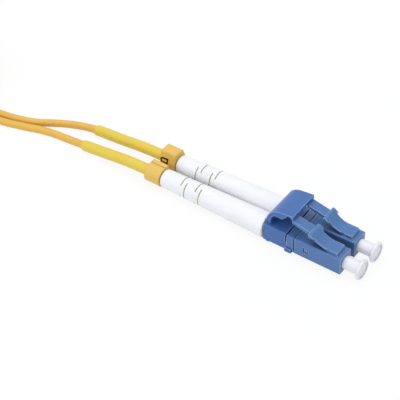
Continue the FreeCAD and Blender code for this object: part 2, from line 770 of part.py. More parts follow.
def swept_tube(wire, radius):
    """A many-sided solid of a round one's volume along a route, checked against section times length."""
    start = wire.Edges[0]
    mouth, heading = start.valueAt(start.FirstParameter), start.tangentAt(start.FirstParameter)
    across = heading.cross(V(0, 0, 1)).normalize()
    over = heading.cross(across)
    step = 2 * math.pi / FLATS
    reach = radius * math.sqrt(step / math.sin(step))
    spots = [mouth + across * (reach * math.cos(step * n)) + over * (reach * math.sin(step * n))
             for n in range(FLATS)]
    tube = wire.makePipeShell([Part.makePolygon(spots + spots[:1])], True, False)
    expected = math.pi * radius**2 * wire.Length
    if abs(tube.Volume - expected) > 0.01 * expected:
        raise RuntimeError(f"a tube's volume is {tube.Volume:.3f} and not {expected:.3f}")
    return tube


def free_shape(label, shape):
    """A Part::Feature with a given shape, in the pair's own frame."""
    piece = doc.addObject("Part::Feature", label)
    piece.Label = label
    piece.Shape = shape
    return keep(piece)


def cord_entry(side):
    """The straight end of the cord that the crimp sleeve grips, up to the marker band's rear."""
    body = new_body(f"cord_entry_{side}")
    jacket = new_sketch(body, "YZ", f"-{CORD_START}")
    round_hole(jacket, "0", "0", "cord_radius")
    add(body, jacket, f"{REAR} - {CORD_START}", "down")
    return keep(body, side)


def cord_and_sleeve(side):
    """The jacketed cord, and the sleeve that stiffens it behind the boot."""
    wire, radii = bent_route(ROUTES[side])
    print(f"cord_{side}: arc radii in mm", " ".join(f"{r:.1f}" for r in radii))
    free_shape(f"cord_{side}", swept_tube(wire, size("cord_radius")))
    start, end = -value(CRIMP_END) - size("running_gap"), -size(f"sleeve_end_{side}")
    mouth = V(*ROUTES[side][0])
    lead = Part.LineSegment(V(start, mouth.y, mouth.z), mouth).toShape()
    along = Part.Wire([lead] + wire.Edges)
    wide = 4 * size("pitch")
    window = Part.makeBox(start - end, wide, wide, V(end, -wide / 2, -wide / 2))
    outer = swept_tube(along, size("sleeve_radius")).common(window)
    free_shape(f"sleeve_{side}", outer.cut(swept_tube(along, size("cord_radius") + size("running_gap"))))


def long_ring(sketch, bend):
    """A hank's outline: two straight sides and two round ends of nearly the given radius."""
    rounded_outline(sketch, f"hank_straight + {bend}", bend, f"{bend} - seat_gap", "-hank_middle")


HANK_OUTER = "(hank_inner_bend + hank_row + cord_radius)"


def cord_hank():
    """The rest of both cords, wound side by side as a long hank."""
    body = new_body("cord_hank")
    ring = new_sketch(body, "XY", "tie_wall + seat_gap - boot_front_radius")
    long_ring(ring, HANK_OUTER)
    long_ring(ring, "(hank_inner_bend - cord_radius)")
    add(body, ring, "hank_row * hank_rows + 2 * cord_radius")
    return keep(body)


def hank_tie():
    """Strap round the middle of the hank."""
    body = new_body("hank_tie")
    band = new_sketch(body, "YZ", "tie_width / 2 - hank_middle")
    top = "hank_row * hank_rows + 2 * cord_radius + tie_wall + 2 * seat_gap - boot_front_radius"
    across = f"{HANK_OUTER} + seat_gap"
    box_outline(band, f"-({across}) - tie_wall", f"{across} + tie_wall", "-boot_front_radius", f"{top} + tie_wall")
    box_outline(band, f"-({across})", across, "tie_wall - boot_front_radius", top)
    add(body, band, "tie_width", "down")
    return keep(body)


# ---------------------------------------------------------------- the document
for side in SIDES:
    for make in (front_housing, latch_arm, rear_body, ferrule, ferrule_holder, spring, fibre_buffer,
                 crimp_sleeve, boot, marker_band, dust_cap, cord_entry, cord_and_sleeve):
        make(side)
duplex_clip()
trigger()
cord_hank()
hank_tie()
doc.recompute()

for thing in doc.Objects:
    if {"Invalid", "Error"} & set(thing.State):
        raise RuntimeError(f"{thing.Label} failed: {thing.State}")
for piece in PIECES:
    if piece.Shape.isNull() or not piece.Shape.isValid() or not piece.Shape.Solids:
        raise RuntimeError(f"{piece.Label} has no valid solid")

os.makedirs("parts", exist_ok=True)
for piece in PIECES:
    piece.Shape.exportStep(os.path.join("parts", f"{piece.Label}.step"))
    print(f"{piece.Label}: {piece.Shape.Volume:.2f} mm3")
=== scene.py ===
"""Looks of a duplex fibre connector with dust caps and two cords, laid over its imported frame.

Every length is in metres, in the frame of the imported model: +X forward out of the ferrules, +Y to the
second connector and +Z up from the surface that the connector lies on.
"""

from __future__ import annotations

import json
import logging
import math
from dataclasses import dataclass
from enum import Enum
from functools import cached_property
from typing import Sequence, Union

import bmesh
import bpy
from mathutils import Matrix, Vector

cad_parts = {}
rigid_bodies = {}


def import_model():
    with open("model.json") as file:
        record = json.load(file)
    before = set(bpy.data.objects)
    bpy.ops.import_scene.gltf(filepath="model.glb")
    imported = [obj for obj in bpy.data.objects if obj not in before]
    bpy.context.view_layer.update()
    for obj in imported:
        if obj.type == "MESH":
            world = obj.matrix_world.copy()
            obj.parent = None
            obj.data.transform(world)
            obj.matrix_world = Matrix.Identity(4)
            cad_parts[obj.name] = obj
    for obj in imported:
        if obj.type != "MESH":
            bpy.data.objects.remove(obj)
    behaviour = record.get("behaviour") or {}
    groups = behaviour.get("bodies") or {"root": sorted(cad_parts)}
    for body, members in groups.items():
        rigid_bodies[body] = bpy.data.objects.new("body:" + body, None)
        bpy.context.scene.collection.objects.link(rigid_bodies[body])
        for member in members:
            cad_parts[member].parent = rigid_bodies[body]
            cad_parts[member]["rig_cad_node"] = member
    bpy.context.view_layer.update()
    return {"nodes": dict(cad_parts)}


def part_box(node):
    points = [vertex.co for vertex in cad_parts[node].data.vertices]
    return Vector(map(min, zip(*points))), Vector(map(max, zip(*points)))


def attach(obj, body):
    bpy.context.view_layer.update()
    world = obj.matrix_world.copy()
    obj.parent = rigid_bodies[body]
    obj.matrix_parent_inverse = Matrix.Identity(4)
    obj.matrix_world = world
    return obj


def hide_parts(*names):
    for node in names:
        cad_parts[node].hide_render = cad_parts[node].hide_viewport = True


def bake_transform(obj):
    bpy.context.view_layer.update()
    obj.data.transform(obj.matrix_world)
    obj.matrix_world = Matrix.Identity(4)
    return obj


log = logging.getLogger("connector")

Number = Union[float, int, "Value"]
Colour = tuple[float, float, float]
Point = tuple[float, float, float]

# The distance between the two ferrules.
PITCH = 0.00625

# The sockets of a Mix node that mixes colours, by number.
MIX_FACTOR, MIX_FIRST, MIX_SECOND, MIX_RESULT = 0, 6, 7, 2

# The cosine at which a rounded normal starts to count as an edge, and how fast the mask then rises; the mask
# lays a painted highlight on edges.
EDGE_START, EDGE_RISE = 0.97, 8.0

# The open share of the sky at which ground starts to count as a gap, and how fast the mask then rises; the
# mask lays painted shade in gaps and inside corners.
PAINTED_SHADE_START, PAINTED_SHADE_RISE = 0.78, 2.0


# ---------------------------------------------------------------- shader maths
class Value:
    """A number inside a material, on which arithmetic adds Math nodes."""

    def __init__(self, paint: Paint, socket: bpy.types.NodeSocket) -> None:
        """Wrap an output socket of a material's node tree."""
        self.paint = paint
        self.socket = socket

    def _math(self, operation: str, first: Number, second: Number = 0.0) -> Value:
        """Add one Math node.

        Args:
            operation: The node's operation.
            first: Its first operand.
            second: Its second operand, which some operations ignore.

        Returns:
            The node's output.
        """
        node = self.paint.node("ShaderNodeMath", {"operation": operation}, {0: first, 1: second})
        return Value(self.paint, node.outputs[0])

    def __add__(self, other: Number) -> Value:
        """Return self + other."""
        return self._math("ADD", self, other)

    def __radd__(self, other: Number) -> Value:
        """Return other + self."""
        return self._math("ADD", other, self)

    def __sub__(self, other: Number) -> Value:
        """Return self - other."""
        return self._math("SUBTRACT", self, other)

    def __rsub__(self, other: Number) -> Value:
        """Return other - self."""
        return self._math("SUBTRACT", other, self)

    def __mul__(self, other: Number) -> Value:
        """Return self * other."""
        return self._math("MULTIPLY", self, other)

    def __rmul__(self, other: Number) -> Value:
        """Return other * self."""
        return self._math("MULTIPLY", other, self)

    def clamped(self) -> Value:
        """Return self held between 0 and 1."""
        return self._math("MAXIMUM", self._math("MINIMUM", self, 1.0), 0.0)

    def sine(self) -> Value:
        """Return the sine of self."""
        return self._math("SINE", self)


class Paint:
    """The node tree of one material or world, with the only method that adds nodes to it."""

    def __init__(self, owner: bpy.types.Material | bpy.types.World) -> None:
        """Start an empty tree.

        Args:
            owner: The material or the world that it belongs to.
        """
        self.owner = owner
        self.owner.use_nodes = True
        self.tree = owner.node_tree
        self.tree.nodes.clear()

    @classmethod
    def new(cls, name: str) -> Paint:
        """Start an empty material."""
        return cls(bpy.data.materials.new(name))

    @cached_property
    def place(self) -> bpy.types.NodeSocket:
        """The place on the object, in metres."""
        return self.node("ShaderNodeTexCoord").outputs["Object"]

    def node(
        self,
        kind: str,
        settings: dict[str, object] | None = None,
        inputs: dict[str | int, object] | None = None,
    ) -> bpy.types.Node:
        """Add a node, set its settings and then its inputs.

        Args:
            kind: The node's type.
            settings: Its properties, with a ramp's stops as (place, colour) pairs under "stops".
            inputs: A number, a colour, a Value or a socket for each input, by name or number.

        Returns:
            The new node.
        """
        made = self.tree.nodes.new(kind)
        for name, setting in (settings or {}).items():
            if name != "stops":
                setattr(made, name, setting)
                continue
            stops = made.color_ramp.elements
            while len(stops) < len(setting):
                stops.new(1.0)
            for stop, (place, colour) in zip(stops, setting):
                stop.position, stop.color = place, (*colour, 1.0)
        for name, given in (inputs or {}).items():
            socket = made.inputs[name]
            if isinstance(given, Value):
                self.tree.links.new(given.socket, socket)
            elif isinstance(given, bpy.types.NodeSocket):
                self.tree.links.new(given, socket)
            elif isinstance(given, tuple) and len(given) == 3 and socket.type == "RGBA":
                socket.default_value = (*given, 1.0)
            else:
                socket.default_value = given
        return made

    def noise(self, size: float, detail: float = 2.0, stretch: Point = (1.0, 1.0, 1.0)) -> Value:
        """Add a noise texture.

        Args:
            size: The size of its largest features, in metres.
            detail: How many finer octaves it has.
            stretch: How much more finely it runs along X, Y and Z.

        Returns:
            Its value, from 0 to 1.
        """
        place = self.node("ShaderNodeMapping", None, {"Vector": self.place, "Scale": stretch})
        grain = self.node(
            "ShaderNodeTexNoise", None,
            {"Vector": place.outputs[0], "Scale": 1.0 / size, "Detail": detail, "Roughness": 0.55},
        )
        return Value(self, grain.outputs[0])

    def mix(self, amount: Number, first: object, second: object) -> bpy.types.NodeSocket:
        """Mix two colours.

        Args:
            amount: How much of the second there is, from 0 to 1.
            first: A colour or a colour socket.
            second: A colour or a colour socket.

        Returns:
            The mixed colour's socket.
        """
        inputs = {MIX_FACTOR: amount, MIX_FIRST: first, MIX_SECOND: second}
        return self.node("ShaderNodeMix", {"data_type": "RGBA"}, inputs).outputs[MIX_RESULT]

    def rounded_edge_highlight(self, radius: float) -> tuple[bpy.types.NodeSocket, Value]:
        """Round the look of sharp edges, and find where a highlight is painted on them.

        Args:
            radius: How far the rounding reaches from an edge, in metres.

        Returns:
            The rounded normal, and a mask for the painted highlight that is 0 on flat ground and rises at
            edges.
        """
        bevel = self.node("ShaderNodeBevel", {"samples": 6}, {"Radius": radius}).outputs[0]
        flat = self.node("ShaderNodeNewGeometry").outputs["Normal"]
        dot = self.node("ShaderNodeVectorMath", {"operation": "DOT_PRODUCT"}, {0: bevel, 1: flat})
        return bevel, ((EDGE_START - Value(self, dot.outputs["Value"])) * EDGE_RISE).clamped()

    def painted_crevice_shade(self, reach: float) -> Value:
        """Find narrow gaps and inside corners, where shade is painted into the colour.

        Args:
            reach: How near the facing surface is, in metres.

        Returns:
            A mask for the painted shade, from ambient occlusion, that is 0 on open ground and near 1 deep in
            a gap.
        """
        open_sky = self.node("ShaderNodeAmbientOcclusion", {"samples": 8}, {"Distance": reach})
        return ((PAINTED_SHADE_START - Value(self, open_sky.outputs["AO"])) * PAINTED_SHADE_RISE).clamped()

    def bump(
        self, height: Value, depth: float, strength: float, normal: bpy.types.NodeSocket | None = None
    ) -> bpy.types.NodeSocket:
        """Add a bump.

        Args:
            height: The height, from 0 to 1.
            depth: What a height of 1 stands for, in metres.
            strength: How much of it shows.
            normal: The normal that it starts from.

        Returns:
            The bumped normal's socket.
        """
        inputs = {"Height": height, "Distance": depth, "Strength": strength}
        if normal is not None:
            inputs["Normal"] = normal
        return self.node("ShaderNodeBump", None, inputs).outputs[0]

    def surface(self, inputs: dict[str | int, object]) -> bpy.types.Material:
        """End the tree with a Principled shader.

        Args:
            inputs: The shader's inputs.

        Returns:
            The finished material.
        """
        shader = self.node("ShaderNodeBsdfPrincipled", None, inputs)
        self.node("ShaderNodeOutputMaterial", None, {"Surface": shader.outputs[0]})
        return self.owner


# ---------------------------------------------------------------- finishes
def scaled(colour: Colour, factor: float) -> Colour:
    """Return a colour times a factor, held at white."""
    return tuple(min(part * factor, 1.0) for part in colour)


@dataclass(frozen=True)
class MouldedPlastic:
    """Injection-moulded plastic: an even colour, a fine skin, a painted highlight on edges and painted shade
    in gaps.
    """

    name: str
    colour: Colour
    # The colour of the painted highlight on edges.
    edge: Colour
    # The colour of the painted shade in gaps and inside corners.
    gap: Colour
    roughness: float = 0.34
    edge_radius: float = 0.00016
    grain: float = 0.00009
    grain_depth: float = 0.000004
    specular: float = 0.5
    painted_shade_reach: float = 0.0005
    cloud_size: float = 0.004
    flow_size: float = 0.0012
    flow_stretch: Point = (0.25, 1.0, 1.0)
    darker: float = 0.93
    lighter: float = 1.06
    edge_shine: float = 0.12

    def make(self) -> bpy.types.Material:
        """Build the material.

        Returns:
            The finished material.
        """
        paint = Paint.new(self.name)
        # The rounded normal is real shading; the edge mask places a painted highlight.
        normal, edges = paint.rounded_edge_highlight(self.edge_radius)
        cloud = paint.noise(self.cloud_size, 3.0)
        flow = paint.noise(self.flow_size, 2.0, self.flow_stretch)
        skin = paint.noise(self.grain, 3.0)
        tone = (cloud * 0.7 + flow * 0.6 - 0.15).clamped()
        body = paint.mix(tone, scaled(self.colour, self.darker), scaled(self.colour, self.lighter))
        # Painted highlight: edges are mixed towards the lighter edge colour.
        lit = paint.mix((edges * 0.9 * (0.6 + cloud * 0.8)).clamped(), body, self.edge)
        # Painted shade: gaps and inside corners are mixed towards the gap colour.
        colour = paint.mix(paint.painted_crevice_shade(self.painted_shade_reach), lit, self.gap)
        rough = self.roughness - 0.06 + skin * 0.08 + flow * 0.06 - edges * self.edge_shine
        return paint.surface({
            "Base Color": colour,
            "Roughness": rough.clamped(),
            "Normal": paint.bump(skin, self.grain_depth, 0.35, normal),
            "Specular IOR Level": self.specular,
        })


@dataclass(frozen=True)
class ExtrudedJacket:
    """A cord's extruded jacket: long faint draw lines, a satin skin and small scuffs."""

    name: str
    colour: Colour
    shade: Colour
    roughness: float = 0.42
    line_size: float = 0.0005
    scuff_size: float = 0.00025
    cloud_size: float = 0.006
    relief: float = 0.00001

    def make(self) -> bpy.types.Material:
        """Build the material.

        Returns:
            The finished material.
        """
        paint = Paint.new(self.name)
        lines = paint.noise(self.line_size, 2.0, (0.06, 1.0, 1.0))
        scuffs = paint.noise(self.scuff_size, 4.0, (0.5, 1.0, 1.0))
        cloud = paint.noise(self.cloud_size, 2.0)
        colour = paint.mix((cloud * 0.5 + lines * 0.7 - 0.2).clamped(), self.shade, self.colour)
        return paint.surface({
            "Base Color": colour,
            "Roughness": (self.roughness - 0.08 + scuffs * 0.16).clamped(),
            "Normal": paint.bump(lines * 0.7 + scuffs * 0.3, self.relief, 0.4),
        })


@dataclass(frozen=True)
class PlainMetal:
    """Plated or drawn metal with fine turning marks about the connector's axis."""

    name: str
    colour: Colour
    roughness: float
    mark_size: float = 0.0001
    stain_size: float = 0.0015
    stain: float = 0.86
    relief: float = 0.000004

    def make(self) -> bpy.types.Material:
        """Build the material.

        Returns:
            The finished material.
        """
        paint = Paint.new(self.name)
        marks = paint.noise(self.mark_size, 3.0, (1.0, 0.08, 0.08))
        stain = paint.noise(self.stain_size, 3.0)
        colour = paint.mix((stain * 0.8 - 0.2).clamped(), self.colour, scaled(self.colour, self.stain))
        return paint.surface({
            "Base Color": colour,
            "Metallic": 1.0,
            "Roughness": (self.roughness - 0.05 + marks * 0.12).clamped(),
            "Normal": paint.bump(marks, self.relief, 0.4),
        })


@dataclass(frozen=True)
class WovenStrap:
    """A black strap of woven loops."""

    name: str
    colour: Colour
    pitch: float = 0.0003
    fuzz_size: float = 0.00012
    relief: float = 0.00005
    sheen: float = 0.12

    def make(self) -> bpy.types.Material:
        """Build the material.

        Returns:
            The finished material.
        """
        paint = Paint.new(self.name)
        parts = paint.node("ShaderNodeSeparateXYZ", None, {0: paint.place})
        x, y, z = (Value(paint, parts.outputs[n]) for n in range(3))
        turn = 2.0 * math.pi / self.pitch
        warp, weft = (x * turn).sine(), ((y + z) * turn).sine()
        weave = (warp * weft * 0.5 + 0.5).clamped()
        fuzz = paint.noise(self.fuzz_size, 4.0)
        pile = weave * 0.6 + fuzz * 0.4
        return paint.surface({
            "Base Color": paint.mix(pile.clamped(), scaled(self.colour, 0.5), self.colour),
            "Roughness": (0.75 + fuzz * 0.2).clamped(),
            "Normal": paint.bump(pile, self.relief, 0.8),
            "Sheen Weight": self.sheen,
        })


@dataclass(frozen=True)
class PrintedInk:
    """Dark ink, a little thin in places."""

    name: str
    colour: Colour
    thin_size: float = 0.00015
    specular: float = 0.15

    def make(self) -> bpy.types.Material:
        """Build the material.

        Returns:
            The finished material.
        """
        paint = Paint.new(self.name)
        thin = paint.noise(self.thin_size, 3.0)
        pale = tuple(part * 2.0 + 0.004 for part in self.colour)
        return paint.surface({
            "Base Color": paint.mix((thin * 0.5).clamped(), self.colour, pale),
            "Roughness": (0.5 + thin * 0.2).clamped(),
            "Specular IOR Level": self.specular,
        })


# Each MouldedPlastic gets its colour, then the colour of its painted highlight on edges, then the colour of
# its painted shade in gaps and inside corners.
HOUSING_BLUE: Colour = (0.060, 0.158, 0.375)
HOUSING_PAINTED_SHADE: Colour = (0.012, 0.034, 0.085)


class Finish(Enum):
    """The connector's finishes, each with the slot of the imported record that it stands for."""

    HOUSING = ("connector_housing", MouldedPlastic(
        "housing_blue", HOUSING_BLUE, (0.36, 0.54, 0.84), HOUSING_PAINTED_SHADE, edge_radius=0.00034, painted_shade_reach=0.0024))
    # The hinge has no painted highlight, so its web shows no edge line, and keeps the housing's painted
    # shade.
    HINGE = ("connector_housing", MouldedPlastic(
        "hinge_blue", HOUSING_BLUE, HOUSING_BLUE, HOUSING_PAINTED_SHADE, edge_radius=0.00002, painted_shade_reach=0.0024))
    # The clip's painted shade is a strong blue, standing in for blue light bounced into its shaded hollows.
    CLIP = ("clip_plastic", MouldedPlastic(
        "clip_blue", (0.049, 0.137, 0.378), (0.34, 0.51, 0.84), (0.024, 0.075, 0.36),
        edge_radius=0.00038, specular=0.4, painted_shade_reach=0.0026))
    # The boot's painted shade is a pale olive laid into its slits.
    BOOT = ("boot_rubber", MouldedPlastic(
        "boot_white", (0.83, 0.831, 0.85), (0.85, 0.85, 0.87), (0.90, 0.88, 0.60),
        roughness=0.5, edge_radius=0.0001))
    CAP = ("cap_plastic", MouldedPlastic(
        "cap_milky", (0.785, 0.775, 0.825), (0.80, 0.79, 0.84), (0.60, 0.59, 0.64),
        roughness=0.36, edge_radius=0.0003))
    BAND = ("marker_plastic", MouldedPlastic(
        "band_amber", (0.745, 0.478, 0.095), (0.81, 0.56, 0.165), (0.58, 0.34, 0.07),
        roughness=0.42, edge_radius=0.0005, painted_shade_reach=0.0003))
    SLEEVE = ("sleeve_plastic", ExtrudedJacket("sleeve_yellow", (0.755, 0.57, 0.073), (0.70, 0.51, 0.043)))
    CORD = ("cord_jacket", ExtrudedJacket("cord_orange", (0.785, 0.475, 0.080), (0.70, 0.39, 0.050)))
    CERAMIC = ("ferrule_ceramic", MouldedPlastic(
        "ferrule_white", (0.85, 0.85, 0.82), (0.9, 0.9, 0.88), (0.5, 0.5, 0.48),
        roughness=0.14, grain_depth=0.000001))
    FIBRE = ("ferrule_ceramic", MouldedPlastic(
        "fibre_glass", (0.10, 0.11, 0.12), (0.2, 0.21, 0.22), (0.05, 0.05, 0.05),
        roughness=0.08, grain_depth=0.0))
    HOLDER = ("holder_brass", PlainMetal("holder_plated", (0.72, 0.70, 0.62), 0.28))
    SPRING = ("spring_steel", PlainMetal("spring_wire", (0.60, 0.60, 0.62), 0.25))
    CRIMP = ("crimp_metal", PlainMetal("crimp_plated", (0.75, 0.68, 0.50), 0.3))
    BUFFER = ("buffer_plastic", ExtrudedJacket("buffer_white", (0.88, 0.88, 0.86), (0.80, 0.80, 0.79)))
    STRAP = ("tie_fabric", WovenStrap("strap_black", (0.022, 0.022, 0.024)))
    INK = ("marker_plastic", PrintedInk("letter_ink", (0.022, 0.008, 0.004)))

    def material(self) -> bpy.types.Material:
        """Return the finish's material, made once."""
        name = self.value[1].name
        return bpy.data.materials.get(name) or self.value[1].make()

    def dress(self, piece: bpy.types.Object) -> None:
        """Give a piece this finish alone.

        Args:
            piece: A piece of the scene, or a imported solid, which has its slot already.
        """
        piece.data.materials.clear()
        piece.data.materials.append(self.material())


# ---------------------------------------------------------------- sides and mesh helpers
class Side(Enum):
    """The two connectors, by the letter that the names of their pieces end in."""

    NEAR = "a"
    FAR = "b"

    @property
    def middle(self) -> float:
        """The distance of its ferrule's axis along Y."""
        return -PITCH / 2 if self is Side.NEAR else PITCH / 2

    def __str__(self) -> str:
        """Return the side's letter."""
        return self.value


def circle(middle: Vector, first: Vector, second: Vector, radius: float, sides: int) -> list[Vector]:
    """Return points round a circle.

    Args:
        middle: Its centre.
        first: The unit direction of its first point.
        second: The unit direction of the point a quarter turn on.
        radius: Its radius.
        sides: How many points it has.

    Returns:
        The points, in order.
    """
    turns = (2 * math.pi * n / sides for n in range(sides))
    return [middle + first * (radius * math.cos(turn)) + second * (radius * math.sin(turn)) for turn in turns]


def square_to(heading: Vector) -> tuple[Vector, Vector]:
    """Return the level direction and the other direction that are square to a heading."""
    level = heading.cross(Vector((0.0, 0.0, 1.0))).normalized()
    return level, level.cross(heading).normalized()


def line_length(line: Sequence[Vector]) -> float:
    """Return the length of a line of close points."""
    return sum((after - before).length for before, after in zip(line, line[1:]))


def bridge_rings(
    form: bmesh.types.BMesh, rings: Sequence[Sequence[Vector]], closed: bool = False
) -> None:
    """Skin a row of equal rings of points.

    Args:
        form: The bmesh to add to.
        rings: The rings, in order.
        closed: Whether the last ring joins the first; otherwise both ends are capped.
    """
    rows = [[form.verts.new(spot) for spot in ring] for ring in rings]
    count = len(rows[0])
    pairs = list(zip(rows, rows[1:])) + ([(rows[-1], rows[0])] if closed else [])
    for low, high in pairs:
        for n in range(count):
            form.faces.new((low[n], low[(n + 1) % count], high[(n + 1) % count], high[n]))
    if not closed:
        form.faces.new(list(reversed(rows[0])))
        form.faces.new(rows[-1])


def new_piece(
    name: str, form: bmesh.types.BMesh, finish: Finish, body: str | None
) -> bpy.types.Object:
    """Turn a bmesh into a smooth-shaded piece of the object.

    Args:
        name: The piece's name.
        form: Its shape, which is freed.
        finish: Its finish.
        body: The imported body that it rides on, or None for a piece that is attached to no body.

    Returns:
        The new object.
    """
    bmesh.ops.recalc_face_normals(form, faces=form.faces)
    mesh = bpy.data.meshes.new(name)
    form.to_mesh(mesh)
    form.free()
    for face in mesh.polygons:
        face.use_smooth = True
    piece = bpy.data.objects.new(name, mesh)
    bpy.context.scene.collection.objects.link(piece)
    if body:
        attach(piece, body)
    finish.dress(piece)
    log.info("%s: %d faces on %s", name, len(mesh.polygons), body or "two bodies")
    return piece


def soften_angles(piece: bpy.types.Object, degrees: float = 32.0) -> None:
    """Shade a piece smoothly across gentle angles and keep its true edges sharp.

    Args:
        piece: The piece.
        degrees: The angle between two faces at which their edge is a true one.
    """
    for face in piece.data.polygons:
        face.use_smooth = True
    piece.data.set_sharp_from_angle(angle=math.radians(degrees))


# ---------------------------------------------------------------- camera, light and floor
class White(Enum):
    """The plain white shaders, by the type of their node."""

    SURFACE = "ShaderNodeEmission"
    SKY = "ShaderNodeBackground"


@dataclass(frozen=True)
class Lamp:
    """One square soft lamp, aimed at the frame's origin."""

    name: str
    place: Point
    size: float
    watts: float

    def hang(self) -> None:
        """Hang the lamp."""
        data = bpy.data.lights.new(self.name, "AREA")
        data.shape, data.size, data.energy = "SQUARE", self.size, self.watts
        lamp = bpy.data.objects.new(self.name, data)
        lamp.location = self.place
        lamp.rotation_euler = (-Vector(self.place)).to_track_quat("-Z", "Y").to_euler()
        bpy.context.scene.collection.objects.link(lamp)


@dataclass
class Studio:
    """The camera, the soft lights and the pale floor."""

    centre: Point = (0.091305, -0.136014, 0.158548)
    azimuth: float = 38.503
    elevation: float = 42.853
    roll: float = -3.250
    lens: float = 88.224
    sensor: float = 36.0
    nearest: float = 0.01
    farthest: float = 20.0
    floor_size: float = 4.0
    floor_drop: float = 0.00002
    floor_colour: Colour = (0.90, 0.90, 0.905)
    floor_veil: float = 0.88
    sky_colour: Colour = (0.93, 0.96, 1.0)
    sky_strength: float = 0.76
    lamps: Sequence[Lamp] = (
        Lamp("key", (-0.12, 0.08, 0.75), 0.5, 2.0),
        Lamp("front", (0.06, -0.44, 0.54), 0.4, 0.48),
        Lamp("edge", (-0.27, -0.41, 0.345), 0.22, 0.27),
    )

    def camera(self) -> None:
        """Stand the camera."""
        azimuth, elevation, roll = (math.radians(v) for v in (self.azimuth, self.elevation, self.roll))
        level = math.cos(elevation)
        look = Vector((-math.sin(azimuth) * level, math.cos(azimuth) * level, -math.sin(elevation)))
        flat = Vector((math.cos(azimuth), math.sin(azimuth), 0.0))
        rise = flat.cross(look)
        right = flat * math.cos(roll) + rise * math.sin(roll)
        up = rise * math.cos(roll) - flat * math.sin(roll)
        data = bpy.data.cameras.new("camera")
        data.lens, data.sensor_width = self.lens, self.sensor
        data.clip_start, data.clip_end = self.nearest, self.farthest
        camera = bpy.data.objects.new("camera", data)
        turn = Matrix((right, up, -look)).transposed().to_4x4()
        camera.matrix_world = Matrix.Translation(self.centre) @ turn
        bpy.context.scene.collection.objects.link(camera)
        bpy.context.scene.camera = camera

    def white_for_camera(
        self, paint: Paint, shader: bpy.types.NodeSocket, white: White, veil: float
    ) -> bpy.types.NodeSocket:
        """Veil a shader with white where the camera or a reflection sees it.

        Args:
            paint: The material or world tree.
            shader: What lights the object.
            white: The white shader.
            veil: The share of white.

        Returns:
            The mixed shader.
        """
        rays = paint.node("ShaderNodeLightPath").outputs
        seen = (Value(paint, rays["Is Camera Ray"]) + Value(paint, rays["Is Glossy Ray"])
                + Value(paint, rays["Is Transmission Ray"])).clamped()
        bright = paint.node(white.value, None, {"Color": (1.0, 1.0, 1.0), "Strength": 1.0})
        mixed = paint.node("ShaderNodeMixShader", None, {0: seen * veil, 1: shader, 2: bright.outputs[0]})
        return mixed.outputs[0]

    def floor(self) -> None:
        """Lay a white floor that keeps a faint shadow of the object."""
        paint = Paint.new("floor_white")
        plain = paint.node("ShaderNodeBsdfDiffuse", None, {"Color": self.floor_colour})
        veiled = self.white_for_camera(paint, plain.outputs[0], White.SURFACE, self.floor_veil)
        paint.node("ShaderNodeOutputMaterial", None, {"Surface": veiled})
        half = self.floor_size / 2
        corners = [(-half, -half, 0), (half, -half, 0), (half, half, 0), (-half, half, 0)]
        mesh = bpy.data.meshes.new("floor")
        mesh.from_pydata(corners, [], [(0, 1, 2, 3)])
        floor = bpy.data.objects.new("floor", mesh)
        floor.location = (0.0, 0.0, -self.floor_drop)
        mesh.materials.append(paint.owner)
        bpy.context.scene.collection.objects.link(floor)

    def sky(self) -> None:
        """Fill the shadows from all round."""
        world = bpy.data.worlds.new("sky")
        paint = Paint(world)
        fill = paint.node(
            "ShaderNodeBackground", None, {"Color": self.sky_colour, "Strength": self.sky_strength})
        seen = self.white_for_camera(paint, fill.outputs[0], White.SKY, 1.0)
        paint.node("ShaderNodeOutputWorld", None, {"Surface": seen})
        bpy.context.scene.world = world

    def build(self) -> None:
        """Set the camera, the floor, the sky and the lamps."""
        bpy.context.scene.view_settings.view_transform = "Standard"
        self.camera()
        self.floor()
        self.sky()
        for lamp in self.lamps:
            lamp.hang()


